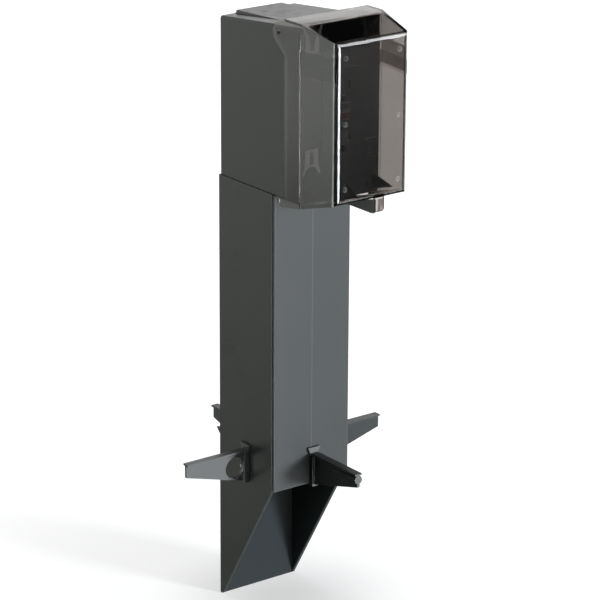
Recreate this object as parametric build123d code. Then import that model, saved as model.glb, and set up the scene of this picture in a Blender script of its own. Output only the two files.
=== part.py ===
from build123d import *
import os
from math import cos, radians, sin

os.makedirs("parts", exist_ok=True)

# Sizes are in millimetres. X is the width, the front faces -Y and Z is up.
# Heights are measured from the lower end of the post, and save() moves the ground line to zero.

# Post
post_width = 73.3
post_wall = 3.0
post_top = 355.0
chisel_height = 111.2
buried_depth = 171.4
seam_gap = 0.1

# Front panel, which closes the post from the chisel to the head
panel_thickness = 2.6
panel_gap = 0.9
panel_crease = 0.4
panel_top_gap = 0.4
panel_edge_round = 0.8
snap_gap = 0.3
rail_setback = 3.55
rail_depth = 1.4
rail_width = 2.0
clip_wall = 1.55
clip_lip = 1.35
clip_end_margin = 6.0

# Barbs on the back wall
barb_rise = 5.7
barb_height = 4.9
barb_reach = 4.7

# Stabiliser arms
arm_length = 58.9
arm_drop = 1.5
arm_root_height = 27.8
arm_tip_height = 11.3
arm_web = 2.4
arm_flange_width = 6.6
arm_flange_thickness = 1.6
arm_root_block = 4.3
arm_root_block_width = 6.4
arm_cap_width = 12.2
arm_cap_foot_width = 7.2
arm_cap_height = 4.5
arm_cap_thickness = 2.2
arm_hole_radius = 8.6
arm_hole_reach = 12.6
arm_hole_rise = 14.2
front_arm_offset = 1.2
front_arm_bead_radius = 3.5
front_arm_bead_end_radius = 1.8
front_arm_bead_length = 31.0
front_arm_bead_drop = 5.2
tongue_thickness = 3.0
tongue_rise = 4.3
tongue_height = 17.8
tongue_hook = 2.2
tongue_hook_thickness = 2.0
tongue_gap = 0.3

# Head, the box on top of the post
head_inset = 0.7
head_wall = 2.6
head_height = 126.0
head_overhang = 29.85
head_corner_round = 2.2
roof_front_rise = 10.0
roof_round = 1.8
plateau_rise = 2.6
plateau_half_width = 21.8
plateau_length = 60.4
spigot_length = 22.0
spigot_wall = 2.4
spigot_gap = 0.25
bracket_depth = 10.0
bracket_height = 9.0
corner_boss_width = 10.2
corner_boss_height = 7.6
corner_boss_depth = 12.0

# Screws that hold the head on the post, through the back wall
head_screw_radius = 1.9
head_screw_head_radius = 3.5
head_screw_head_height = 1.9
head_screw_length = 8.4
head_screw_drop = 11.0
head_screw_half_spacing = 18.0
screw_gap = 0.1

# Cable bushing in the floor of the head
bushing_bore = 7.0
bushing_hole = 11.0
bushing_flange = 14.0
bushing_lip = 1.8

# Gasket and base plate on the front of the head
gasket_thickness = 1.0
gasket_width = 4.0
base_thickness = 2.5
base_side_lap = 0.35
base_drop = 0.4
base_corner_round = 2.0
base_screw_radius = 1.8
base_screw_head_radius = 3.3
base_screw_head_height = 1.7
base_screw_length = 9.0
base_screw_side_inset = 6.3
base_screw_end_inset = 3.9
aperture_gap = 0.3
cheek_thickness = 2.2
cheek_inset = 3.1
cheek_reach = 22.0
cheek_foot = 2.4
cheek_top = 13.9
cheek_tip_rise = 8.8
catch_thickness = 2.5
catch_side = 3.2
catch_drop = 4.6
catch_rear_rise = 10.8
catch_rear_reach = 18.0
catch_gap = 0.8
lug_thickness = 1.2
lug_half_width = 6.4
lug_height = 12.0
lug_slot_half_width = 1.5
lug_slot_height = 9.5
lug_foot_half_width = 8.8
lug_foot_height = 7.6
lug_arch_radius = 6.0
lug_foot_rise = 23.8

# Clear cover
cover_wall = 2.2
cover_side_gap = 1.05
cover_rear_lap = 15.0
cover_flange_step = 0.6
cover_bulge = 37.8
cover_narrowing = 5.3
cover_head_room = 4.3
cover_hood_drop = 9.2
cover_foot_drop = 2.2
cover_foot_rise = 10.3
cover_face_round = 5.0
cover_side_step = 0.5
cover_step_round = 0.45
skirt_rear_lap = 20.9
skirt_lap = 0.9
skirt_drop = 5.8
skirt_round = 2.6
band_drop = 29.8
band_height = 11.0
band_thickness = 1.2
cord_notch_width = 13.0
cord_notch_depth = 12.5
cord_notch_offset = 19.5
catch_notch_gap = 1.0
catch_notch_reach = 22.0
tab_width = 9.0
tab_thickness = 2.0
tab_drop = 0.8
tab_round = 2.8
mark_radius = 1.7
mark_depth = 0.3
mark_side_margin = 8.7
mark_end_margin = 11.5
mark_rows = 3

# Hinge of the cover
hinge_lap = 22.2
hinge_drop = 5.5
ear_radius = 8.1
ear_root_drop = 16.5
ear_front_angle = 70
ear_back_angle = -38
pin_radius = 2.1
pin_running_gap = 0.05
pin_head_radius = 2.7
pin_head_thickness = 1.4
pin_recess = 0.6

# Twin socket with its test and reset buttons
socket_face_width = 33.2
socket_face_height = 66.6
socket_face_proud = 1.5
socket_body_width = 34.0
socket_body_height = 71.0
socket_body_depth = 28.0
socket_wall = 1.8
socket_round = 1.5
strap_thickness = 1.5
strap_width = 19.0
strap_length = 106.0
strap_gap = 2.0
socket_screw_pitch = 83.3
socket_screw_radius = 1.75
socket_screw_head_radius = 3.6
socket_screw_head_height = 1.4
socket_screw_length = 14.0
outlet_offset = 19.6
blade_offset = 6.35
blade_slot_width = 2.0
line_slot_height = 7.0
neutral_slot_height = 8.6
earth_hole_radius = 2.6
earth_hole_drop = 9.6
button_width = 14.0
button_height = 5.4
button_offset = 3.6
button_proud = 0.5
button_travel = 1.2
button_gap = 0.3
contact_thickness = 0.7
contact_depth = 7.5
contact_reach = 12.4
contact_clip_half_gap = 1.3
contact_clip_height = 7.0
terminal_offset = 12.0
terminal_radius = 1.7
terminal_head_radius = 4.0
terminal_head_height = 1.9
terminal_head_gap = 0.4
earth_strip_half_width = 3.8
earth_tube_wall = 0.6
earth_tube_length = 7.0
earth_screw_radius = 1.5
earth_screw_head_radius = 2.8
earth_screw_head_height = 1.9
earth_screw_side = 5.0
earth_screw_drop = 50.0
board_width = 28.0
board_height = 54.0
board_thickness = 1.6
board_standoff = 6.6
board_post_radius = 2.0
board_post_x = 10.5
board_post_z = 21.0
sensor_radius = 8.5
sensor_bore = 4.5
sensor_depth = 7.0
sensor_drop = 13.0
solenoid_width = 12.0
solenoid_height = 16.0
solenoid_depth = 8.0
solenoid_rise = 14.0
case_screw_radius = 1.1
case_screw_head_radius = 2.0
case_screw_head_height = 1.2
case_screw_inset = 2.9
case_post = 2.6

# One overrun serves every cut that goes right through
overrun = 1.0


def save(name, *solids):
    """Write one piece, moved so that the ground line is at zero height."""
    shapes = []
    for solid in solids:
        shapes.extend((Pos(0, 0, -buried_depth) * solid).solids())
    piece = shapes[0] if len(shapes) == 1 else Compound(children=shapes)
    export_step(piece, f"parts/{name}.step")


def block(low, high):
    """A box from its low corner to its high corner."""
    size = [b - a for a, b in zip(low, high)]
    middle = [(a + b) / 2 for a, b in zip(low, high)]
    return Pos(*middle) * Box(*size)


def rod(start, end, radius):
    """A round bar from one point to another."""
    run = Vector(*end) - Vector(*start)
    return Solid.make_cylinder(radius, run.length, Plane(origin=start, z_dir=run))


def side_prism(outline, x_low, x_high):
    """A prism with its (y, z) outline seen from the side, between two widths."""
    corners = [(x_low, y, z) for y, z in outline]
    return extrude(make_face(Polyline(*corners, close=True)), x_high - x_low, dir=(1, 0, 0))


def plan_prism(outline, z_low, z_high):
    """A prism with its (x, y) outline seen from above, between two heights."""
    corners = [(x, y, z_low) for x, y in outline]
    return extrude(make_face(Polyline(*corners, close=True)), z_high - z_low, dir=(0, 0, 1))


def mirror_x(shape):
    """The same shape on the other side of the post."""
    return mirror(shape, Plane.YZ)


def span(side, near, far):
    """Two distances from the middle plane, as a low and a high x on one side."""
    return sorted((side * near, side * far))


def roof_height(y):
    """Height of the head's roof above a place along its depth."""
    share = (head_back - y) / (head_back - head_front)
    return post_top + head_height + share * roof_front_rise


# Places of the post and the panel, worked out from the sizes above
half = post_width / 2
inner_half = half - post_wall
panel_back = -half + panel_thickness
wall_front = panel_back + panel_gap
rail_front = panel_back + rail_setback
rail_back = rail_front + rail_width
clip_low = chisel_height + clip_end_margin
clip_high = post_top - spigot_length - clip_end_margin

# Places of the arms
arm_root_bottom = chisel_height - arm_drop
arm_top = arm_root_bottom + arm_root_height
tongue_bottom = arm_root_bottom + tongue_rise
slot_bottom = tongue_bottom - tongue_gap
slot_top = tongue_bottom + tongue_height + tongue_hook + 2 * tongue_gap

# Places of the head and what closes its front
head_half = half - head_inset
head_back = half - head_inset
head_front = -half - head_overhang
head_inner = head_half - head_wall
floor_top = post_top + head_wall
roof_front_height = roof_height(head_front)
spigot_half = inner_half - spigot_gap
spigot_bottom = post_top - spigot_length
gasket_front = head_front - gasket_thickness
base_front = gasket_front - base_thickness
base_half_width = head_half + base_side_lap
base_bottom = post_top - base_drop

# Places of the cover
cover_half_width = head_half + cover_side_gap + cover_wall
cover_front_half_width = cover_half_width - cover_narrowing
bubble_half_width = cover_half_width - cover_side_step
cover_rear = head_front + cover_rear_lap
cover_junction = base_front - cover_flange_step
cover_front = cover_junction - cover_bulge
cover_top = roof_front_height + cover_head_room
cover_front_top = cover_top - cover_hood_drop
cover_junction_bottom = post_top - cover_foot_drop
cover_front_bottom = cover_junction_bottom + cover_foot_rise
hinge_y = head_front + hinge_lap
hinge_height = roof_height(hinge_y) - hinge_drop

# Places of the socket
socket_height = (floor_top + roof_front_height - head_wall) / 2
socket_front = base_front - socket_face_proud
strap_front = base_front + base_thickness + strap_gap
strap_back = strap_front + strap_thickness
body_back = strap_back + socket_body_depth
board_back = body_back - socket_wall - board_standoff
board_front = board_back - board_thickness


def wall_slot(wall):
    """The cutter of one arm's slot, for a wall whose outer face lies at y = 0 and faces -Y."""
    side = tongue_thickness / 2 + tongue_gap
    return block((-side, -overrun, slot_bottom), (side, wall + overrun, slot_top))


def post_channel():
    """The back and side walls in one piece, cut slanting at the foot like a chisel."""
    outside = block((-half, wall_front, 0), (half, half, post_top - seam_gap))
    channel = outside - block(
        (-inner_half, wall_front - overrun, -overrun),
        (inner_half, inner_half, post_top + overrun),
    )
    slope = chisel_height / (inner_half - wall_front)
    chisel = side_prism(
        [
            (wall_front - overrun, -overrun),
            (inner_half, -overrun),
            (inner_half, 0),
            (wall_front, chisel_height),
            (wall_front - overrun, chisel_height + slope * overrun),
        ],
        -half - overrun,
        half + overrun,
    )
    channel -= chisel
    barb_top = arm_top + barb_rise
    for side in (-1, 1):
        x_low, x_high = span(side, inner_half - rail_depth, inner_half)
        channel += block((x_low, rail_front, clip_low), (x_high, rail_back, clip_high))
        channel += side_prism(
            [(half, barb_top), (half + barb_reach, barb_top), (half, barb_top - barb_height)],
            *span(side, inner_half, half),
        )
    for turn in (-90, 90, 180):
        channel -= Rot(0, 0, turn) * Pos(0, -half, 0) * wall_slot(post_wall)
    for side in (-1, 1):
        x = side * head_screw_half_spacing
        z = post_top - head_screw_drop
        radius = head_screw_radius + 2 * screw_gap
        channel -= rod((x, inner_half - overrun, z), (x, half + overrun, z), radius)
    return channel


def front_panel():
    """A plate with a faint crease down its middle, which clips behind the rails of the side walls."""
    front = -half
    plate = plan_prism(
        [
            (-half, front + panel_crease),
            (0, front),
            (half, front + panel_crease),
            (half, panel_back),
            (-half, panel_back),
        ],
        chisel_height,
        post_top - panel_top_gap,
    )
    front_corners = plate.edges().filter_by(Axis.Z).filter_by(
        lambda edge: abs(edge.center().X) > half / 2 and edge.center().Y < (front + panel_back) / 2
    )
    plate = fillet(front_corners, panel_edge_round)
    clip_outer = inner_half - rail_depth - snap_gap
    clip = plan_prism(
        [
            (clip_outer - clip_wall, panel_back),
            (clip_outer, panel_back),
            (clip_outer, rail_back + snap_gap),
            (inner_half - snap_gap, rail_back + snap_gap),
            (inner_half - snap_gap, rail_back + snap_gap + clip_lip),
            (clip_outer - clip_wall, rail_back + snap_gap + clip_lip),
        ],
        clip_low,
        clip_high,
    )
    panel = plate + clip + mirror_x(clip)
    return panel - Pos(front_arm_offset, front, 0) * wall_slot(panel_thickness)


def stabiliser_arm(wall, beaded):
    """One arm that points to -Y from a wall face at y = 0, with its tongue through the wall."""
    web = side_prism(
        [
            (0, arm_root_bottom),
            (-arm_length, arm_top - arm_tip_height),
            (-arm_length, arm_top),
            (0, arm_top),
        ],
        -arm_web / 2,
        arm_web / 2,
    )
    flange = block(
        (-arm_flange_width / 2, -arm_length, arm_top - arm_flange_thickness),
        (arm_flange_width / 2, 0, arm_top),
    )
    root = block(
        (-arm_root_block_width / 2, -arm_root_block, arm_root_bottom),
        (arm_root_block_width / 2, 0, arm_top),
    )
    cap_outline = [
        (-arm_cap_foot_width / 2, 0, arm_top - arm_flange_thickness),
        (arm_cap_foot_width / 2, 0, arm_top - arm_flange_thickness),
        (arm_cap_width / 2, 0, arm_top + arm_cap_height),
        (-arm_cap_width / 2, 0, arm_top + arm_cap_height),
    ]
    cap = extrude(make_face(Polyline(*cap_outline, close=True)), arm_cap_thickness, dir=(0, -1, 0))
    hook_front = wall + tongue_gap
    tongue = side_prism(
        [
            (0, tongue_bottom),
            (hook_front, tongue_bottom),
            (hook_front, tongue_bottom - tongue_hook),
            (hook_front + tongue_hook_thickness, tongue_bottom - tongue_hook),
            (hook_front + tongue_hook_thickness, tongue_bottom + tongue_height),
            (0, tongue_bottom + tongue_height),
        ],
        -tongue_thickness / 2,
        tongue_thickness / 2,
    )
    arm = web + flange + root + cap + tongue
    if not beaded:
        hole_height = arm_root_bottom + arm_hole_rise
        arm -= rod(
            (-arm_web, -arm_hole_reach, hole_height),
            (arm_web, -arm_hole_reach, hole_height),
            arm_hole_radius,
        )
    if beaded:
        bead = Solid.make_cone(
            front_arm_bead_radius,
            front_arm_bead_end_radius,
            front_arm_bead_length,
            Plane(origin=(0, -arm_length, arm_top - front_arm_bead_drop), z_dir=(0, 1, 0)),
        )
        arm += bead
    return arm


def head_shell():
    """The box on the post: sloped roof, closed floor with a cable hole, and a spigot for the post."""
    outline = [
        (head_front, post_top),
        (head_back, post_top),
        (head_back, roof_height(head_back)),
        (head_front, roof_front_height),
    ]
    outside = side_prism(outline, -head_half, head_half)
    outside = fillet(outside.edges().filter_by(Axis.Z).group_by(Axis.Y)[-1], head_corner_round)
    roof_start = roof_height(head_back) - roof_round
    roof_edges = outside.edges().filter_by(
        lambda edge: edge.center().Z > roof_start and edge.center().Y > head_front / 2
    )
    outside = fillet(roof_edges, roof_round)
    hollow_back = head_back - head_wall
    hollow_front = head_front - overrun
    hollow = side_prism(
        [
            (hollow_front, floor_top),
            (hollow_back, floor_top),
            (hollow_back, roof_height(hollow_back) - head_wall),
            (hollow_front, roof_height(hollow_front) - head_wall),
        ],
        -head_inner,
        head_inner,
    )
    plateau_back = head_back - roof_round
    plateau_front = plateau_back - plateau_length
    plateau = side_prism(
        [
            (plateau_back, roof_height(plateau_back) - head_wall / 2),
            (plateau_back, roof_height(plateau_back) + plateau_rise),
            (plateau_front, roof_height(plateau_front)),
            (plateau_front, roof_height(plateau_front) - head_wall / 2),
        ],
        -plateau_half_width,
        plateau_half_width,
    )
    shell = outside - hollow + plateau
    collar = block(
        (-spigot_half, panel_back + snap_gap, spigot_bottom),
        (spigot_half, spigot_half, post_top),
    )
    collar -= block(
        (-spigot_half + spigot_wall, panel_back + snap_gap + spigot_wall, spigot_bottom - overrun),
        (spigot_half - spigot_wall, spigot_half - spigot_wall, post_top + overrun),
    )
    shell += collar
    shell -= rod((0, 0, post_top - overrun), (0, 0, floor_top + overrun), bushing_hole)
    for side in (-1, 1):
        z = socket_height + side * socket_screw_pitch / 2
        bar = block(
            (-head_inner, strap_back, z - bracket_height / 2),
            (head_inner, strap_back + bracket_depth, z + bracket_height / 2),
        )
        bar -= rod(
            (0, strap_back - overrun, z),
            (0, strap_back + bracket_depth + overrun, z),
            socket_screw_radius + screw_gap,
        )
        shell += bar
    boss_back = head_front + corner_boss_depth
    for side in (-1, 1):
        low_x, high_x = span(side, head_inner - corner_boss_width, head_inner)
        shell += block((low_x, head_front, floor_top), (high_x, boss_back, floor_top + corner_boss_height))
        shell += side_prism(
            [
                (head_front, roof_front_height - head_wall),
                (boss_back, roof_height(boss_back) - head_wall),
                (boss_back, roof_height(boss_back) - head_wall - corner_boss_height),
                (head_front, roof_height(boss_back) - head_wall - corner_boss_height),
            ],
            low_x,
            high_x,
        )
    hole = base_screw_radius + screw_gap
    for x, z in base_screw_places():
        shell -= rod((x, head_front - overrun, z), (x, gasket_front + base_screw_length, z), hole)
    for side in (-1, 1):
        shell -= rod(
            (side * (head_inner - overrun), hinge_y, hinge_height),
            (side * (head_half + overrun), hinge_y, hinge_height),
            pin_radius + pin_running_gap,
        )
        x = side * head_screw_half_spacing
        z = post_top - head_screw_drop
        shell -= rod((x, 0, z), (x, half, z), head_screw_radius + screw_gap)
    return shell


def head_screw(x):
    """A pan-head screw from the back of the post into the spigot of the head."""
    z = post_top - head_screw_drop
    screw = rod((x, half, z), (x, half + head_screw_head_height, z), head_screw_head_radius)
    return screw + rod((x, half - head_screw_length, z), (x, half, z), head_screw_radius)


def cable_bushing():
    """A rubber bushing snapped into the floor of the head, through which the supply cable rises."""
    low = post_top - bushing_lip
    high = floor_top + bushing_lip
    sleeve = rod((0, 0, low), (0, 0, high), bushing_hole - screw_gap)
    upper = rod((0, 0, floor_top), (0, 0, high), bushing_flange)
    lower = rod((0, 0, low), (0, 0, post_top), bushing_flange)
    return sleeve + upper + lower - rod((0, 0, low - overrun), (0, 0, high + overrun), bushing_bore)


def base_screw_places():
    """The four screw places of the base plate, as (x, z)."""
    x = head_inner - base_screw_side_inset
    low = floor_top + base_screw_end_inset
    high = roof_height(head_front + corner_boss_depth) - head_wall - base_screw_end_inset
    return [(side * x, z) for side in (-1, 1) for z in (low, high)]


def base_gasket():
    """A flat seal between the head's front rim and the base plate."""
    top = roof_front_height - roof_round
    ring = block((-head_half, gasket_front, post_top), (head_half, head_front, top))
    ring -= block(
        (-head_half + gasket_width, gasket_front - overrun, post_top + gasket_width),
        (head_half - gasket_width, head_front + overrun, top - gasket_width),
    )
    for x, z in base_screw_places():
        ring += block(
            (x - base_screw_side_inset, gasket_front, z - base_screw_end_inset),
            (x + base_screw_side_inset, head_front, z + base_screw_end_inset),
        )
        hole = base_screw_radius + screw_gap
        ring -= rod((x, gasket_front - overrun, z), (x, head_front + overrun, z), hole)
    return ring


def cover_bottom(y):
    """Height of the underside of the bubble along its depth."""
    share = (cover_junction - y) / (cover_junction - cover_front)
    return cover_junction_bottom + share * (cover_front_bottom - cover_junction_bottom)


def base_plate():
    """The front plate round the socket, with two cheeks at the foot and the catch under the bubble."""
    plate = block(
        (-base_half_width, base_front, base_bottom),
        (base_half_width, gasket_front, roof_front_height),
    )
    plate = fillet(plate.edges().filter_by(Axis.Y), base_corner_round)
    side = socket_face_width / 2 + aperture_gap
    rise = socket_face_height / 2 + aperture_gap
    plate -= block(
        (-side, base_front - overrun, socket_height - rise),
        (side, gasket_front + overrun, socket_height + rise),
    )
    for x, z in base_screw_places():
        hole = base_screw_radius + screw_gap
        plate -= rod((x, base_front - overrun, z), (x, gasket_front + overrun, z), hole)
    cheek = side_prism(
        [
            (base_front, base_bottom + cheek_foot),
            (base_front, base_bottom + cheek_top),
            (base_front - cheek_reach, base_bottom + cheek_tip_rise),
        ],
        base_half_width - cheek_inset - cheek_thickness,
        base_half_width - cheek_inset,
    )
    catch_front = cover_front + tab_thickness + catch_gap
    catch_bottom = post_top - catch_drop
    knee = base_front - catch_rear_reach
    catch = side_prism(
        [
            (gasket_front, catch_bottom),
            (gasket_front, base_bottom + catch_thickness),
            (base_front, base_bottom + catch_rear_rise),
            (knee, cover_bottom(knee) - catch_gap),
            (catch_front, cover_bottom(catch_front) - catch_gap),
            (catch_front, catch_bottom),
        ],
        catch_side,
        catch_side + catch_thickness,
    )
    plate += [cheek, mirror_x(cheek), catch]
    for side in (-1, 1):
        x = side * (head_inner - base_screw_side_inset)
        plate += slotted_lug(x, base_bottom + lug_foot_rise, 1)
        plate += slotted_lug(x, roof_front_height, -1)
    for x, z in base_screw_places():
        plate -= rod(
            (x, base_front - lug_thickness - overrun, z),
            (x, base_front, z),
            base_screw_head_radius + aperture_gap,
        )
    return plate


def slotted_lug(x, foot, way):
    """A raised lug on the base plate with a slot and an arched foot, pointing up or down."""
    shoulder = foot + way * lug_foot_height
    top = shoulder + way * lug_height
    outline = [
        (x - lug_foot_half_width, base_front, foot),
        (x + lug_foot_half_width, base_front, foot),
        (x + lug_half_width, base_front, shoulder),
        (x + lug_half_width, base_front, top),
        (x - lug_half_width, base_front, top),
        (x - lug_half_width, base_front, shoulder),
    ]
    lug = extrude(make_face(Polyline(*outline, close=True)), lug_thickness, dir=(0, -1, 0))
    slot_low, slot_high = sorted((shoulder, shoulder + way * lug_slot_height))
    lug -= block(
        (x - lug_slot_half_width, base_front - lug_thickness - overrun, slot_low),
        (x + lug_slot_half_width, base_front + overrun, slot_high),
    )
    return lug - rod(
        (x, base_front - lug_thickness - overrun, foot),
        (x, base_front + overrun, foot),
        lug_arch_radius,
    )


def base_screw(x, z):
    """A pan-head screw of the base plate."""
    head = rod((x, base_front - base_screw_head_height, z), (x, base_front, z), base_screw_head_radius)
    return head + rod((x, base_front, z), (x, gasket_front + base_screw_length, z), base_screw_radius)


def bubble(inset):
    """The box of the cover and its tapered front, drawn in by a wall."""
    share = inset / (cover_junction - cover_front)
    front_half = cover_front_half_width + share * (bubble_half_width - cover_front_half_width) - inset
    front_low = cover_front_bottom - share * (cover_front_bottom - cover_junction_bottom) + inset
    front_high = cover_front_top + share * (cover_top - cover_front_top) - inset
    back_half = cover_half_width - inset
    back_low = cover_junction_bottom + inset
    back_high = cover_top - inset
    rear = cover_rear + inset / cover_wall * overrun

    def rectangle(y, side, low, high):
        corners = [(-side, y, low), (side, y, low), (side, y, high), (-side, y, high)]
        return make_face(Polyline(*corners, close=True))

    taper = loft(
        [
            rectangle(cover_junction, bubble_half_width - inset, back_low, back_high),
            rectangle(cover_front + inset, front_half, front_low, front_high),
        ],
        ruled=True,
    )
    return taper + block((-back_half, cover_junction, back_low), (back_half, rear, back_high))


def face_edges(shape):
    """The edges round the front face of the bubble."""
    return shape.edges().group_by(Axis.Y)[0]


def step_edges(shape):
    """The upright edges of the small step between the side flanges and the bubble."""

    def stands(edge):
        place = edge.center()
        near = abs(place.Y - cover_junction) < overrun / 10
        return near and abs(abs(place.X) - cover_half_width) < overrun / 10

    return shape.edges().filter_by(stands)


def clear_cover():
    """The hinged cover: bubble, side flanges with ears, skirts, stiffening bands, cord notches and tab."""
    outside = bubble(0)
    outside = fillet(face_edges(outside), cover_face_round)
    outside = fillet(step_edges(outside), cover_step_round)
    inside = bubble(cover_wall)
    cover = outside - fillet(face_edges(inside), cover_face_round - cover_wall)
    cover -= block(
        (-cover_half_width + cover_wall, cover_junction, cover_junction_bottom - overrun),
        (cover_half_width - cover_wall, cover_rear + overrun, cover_junction_bottom + 2 * cover_wall),
    )
    inner_side = cover_half_width - cover_wall
    skirt_rear = head_front + skirt_rear_lap
    skirt_top = post_top + skirt_lap
    skirt_bottom = post_top - skirt_drop
    skirt = side_prism(
        [
            (cover_junction, skirt_top + cover_wall),
            (cover_junction, cover_junction_bottom),
            (skirt_rear - skirt_round, skirt_bottom),
            (skirt_rear, skirt_bottom + skirt_round),
            (skirt_rear, skirt_top),
            (cover_rear, skirt_top),
            (cover_rear, skirt_top + cover_wall),
        ],
        inner_side,
        cover_half_width,
    )
    ear_top = radians(ear_front_angle)
    ear_back = radians(ear_back_angle)
    ear = side_prism(
        [
            (cover_rear, hinge_height - ear_root_drop),
            (hinge_y + ear_radius * cos(ear_back), hinge_height + ear_radius * sin(ear_back)),
            (hinge_y, hinge_height),
            (hinge_y + ear_radius * cos(ear_top), hinge_height + ear_radius * sin(ear_top)),
            (cover_rear, cover_top - cover_wall / 2),
        ],
        inner_side,
        cover_half_width,
    )
    ear += rod((inner_side, hinge_y, hinge_height), (cover_half_width, hinge_y, hinge_height), ear_radius)
    ear -= rod(
        (inner_side - overrun, hinge_y, hinge_height),
        (cover_half_width + overrun, hinge_y, hinge_height),
        pin_radius + pin_running_gap,
    )
    cover += [skirt, mirror_x(skirt), ear, mirror_x(ear)]
    cover += stiffening_bands()
    cover -= cord_notches()
    tab = block(
        (catch_side, cover_front, cover_junction_bottom - tab_drop),
        (catch_side + tab_width, cover_front + tab_thickness, cover_front_bottom + cover_wall),
    )
    tab_corner = tab.edges().filter_by(Axis.Y).sort_by(lambda edge: edge.center().Z - edge.center().X)[0]
    cover += fillet(tab_corner, tab_round)
    mark_x = cover_front_half_width - mark_side_margin
    mark_low = cover_front_bottom + mark_end_margin
    mark_step = (cover_front_top - mark_end_margin - mark_low) / (mark_rows - 1)
    for x in (-mark_x, mark_x):
        for row in range(mark_rows):
            z = mark_low + row * mark_step
            cover -= rod((x, cover_front - overrun, z), (x, cover_front + mark_depth, z), mark_radius)
    return cover


def stiffening_bands():
    """The thicker level bands inside both side walls of the bubble."""
    lean = (bubble_half_width - cover_front_half_width) / (cover_junction - cover_front)
    front = cover_front + cover_wall / 2
    inner = bubble_half_width - cover_wall / 2

    def inner_side(y):
        return inner - (cover_junction - y) * lean

    reach = cover_wall / 2 + band_thickness
    band_bottom = cover_top - band_drop - band_height
    band = plan_prism(
        [
            (inner_side(cover_junction), cover_junction),
            (inner_side(cover_junction) - reach, cover_junction),
            (inner_side(front) - reach, front),
            (inner_side(front), front),
        ],
        band_bottom,
        band_bottom + band_height,
    )
    return [band, mirror_x(band)]


def cord_notches():
    """The cutters of the two cord exits and of the catch's notch in the underside of the bubble."""
    low = cover_junction_bottom - overrun
    high = cover_bottom(cover_junction - catch_notch_reach) + 2 * cover_wall
    cutters = []
    for side in (-1, 1):
        x = side * cord_notch_offset
        cutters.append(
            block(
                (x - cord_notch_width / 2, cover_junction - cord_notch_depth, low),
                (x + cord_notch_width / 2, cover_junction + overrun, high),
            )
        )
    cutters.append(
        block(
            (catch_side - catch_notch_gap, cover_junction - catch_notch_reach, low),
            (catch_side + catch_thickness + catch_notch_gap, cover_junction + overrun, high),
        )
    )
    return cutters


def hinge_pin(side):
    """A headed pin from inside the head, through its side wall and into the cover's ear."""
    inner = side * head_inner
    shoulder = side * (head_inner - pin_head_thickness)
    end = side * (cover_half_width - pin_recess)
    pin = rod((shoulder, hinge_y, hinge_height), (inner, hinge_y, hinge_height), pin_head_radius)
    return pin + rod((inner, hinge_y, hinge_height), (end, hinge_y, hinge_height), pin_radius)


def socket_face():
    """The face of the twin socket, with its pin slots and the two button holes."""
    side = socket_face_width / 2
    rise = socket_face_height / 2
    face = block((-side, socket_front, socket_height - rise), (side, strap_front, socket_height + rise))
    face = fillet(face.edges().filter_by(Axis.Y), socket_round)
    for outlet in (-1, 1):
        z = socket_height + outlet * outlet_offset
        slots = ((blade_offset, line_slot_height), (-blade_offset, neutral_slot_height))
        for x, height in slots:
            face -= block(
                (x - blade_slot_width / 2, socket_front - overrun, z - height / 2),
                (x + blade_slot_width / 2, strap_front + overrun, z + height / 2),
            )
        z -= earth_hole_drop
        face -= rod((0, socket_front - overrun, z), (0, strap_front + overrun, z), earth_hole_radius)
        face -= button_shape(outlet, button_gap, socket_front - overrun, strap_front + overrun)
    for x, z in case_screw_places():
        hole = case_screw_radius + screw_gap
        face -= rod((x, socket_front + socket_wall, z), (x, strap_front + overrun, z), hole)
    return face


def button_shape(row, grow, front, back):
    """The block of one button, or its hole when grown by a gap."""
    z = socket_height + row * button_offset
    return block(
        (-button_width / 2 - grow, front, z - button_height / 2 - grow),
        (button_width / 2 + grow, back, z + button_height / 2 + grow),
    )


def socket_button(row):
    """A push button that stands a little proud of the face."""
    button = button_shape(row, 0, socket_front - button_proud, strap_front - button_gap - button_travel)
    return fillet(button.edges().group_by(Axis.Y)[0], button_proud)


def case_screw_places():
    """The four screw places of the socket's case, as (x, z)."""
    x = socket_face_width / 2 - case_screw_inset
    rise = socket_face_height / 2 - case_screw_inset
    return [(side * x, socket_height + end * rise) for side in (-1, 1) for end in (-1, 1)]


def case_screw(x, z):
    """One of the long screws that hold the socket's case together."""
    head = rod((x, body_back, z), (x, body_back + case_screw_head_height, z), case_screw_head_radius)
    return head + rod((x, socket_front + 2 * socket_wall, z), (x, body_back, z), case_screw_radius)


def socket_strap():
    """The steel strap that carries the socket, with a plate behind its face."""
    tab_side = strap_width / 2
    plate_side = socket_face_width / 2 - case_screw_inset - case_screw_head_radius
    strap = block(
        (-tab_side, strap_front, socket_height - strap_length / 2),
        (tab_side, strap_back, socket_height + strap_length / 2),
    )
    strap += block(
        (-plate_side, strap_front, socket_height - socket_face_height / 2),
        (plate_side, strap_back, socket_height + socket_face_height / 2),
    )
    for end in (-1, 1):
        z = socket_height + end * socket_screw_pitch / 2
        hole = socket_screw_radius + 2 * screw_gap
        strap -= rod((0, strap_front - overrun, z), (0, strap_back + overrun, z), hole)
        z = socket_height + end * outlet_offset
        for side in (-1, 1):
            x = side * blade_offset
            strap -= block(
                (x - blade_slot_width, strap_front - overrun, z - neutral_slot_height / 2 - button_gap),
                (x + blade_slot_width, strap_back + overrun, z + neutral_slot_height / 2 + button_gap),
            )
        earth = z - earth_hole_drop
        strap -= rod((0, strap_front - overrun, earth), (0, strap_back + overrun, earth), earth_hole_radius)
    z = socket_height - earth_screw_drop
    x = earth_screw_side
    hole = earth_screw_radius + screw_gap
    return strap - rod((x, strap_front - overrun, z), (x, strap_back + overrun, z), hole)


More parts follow.
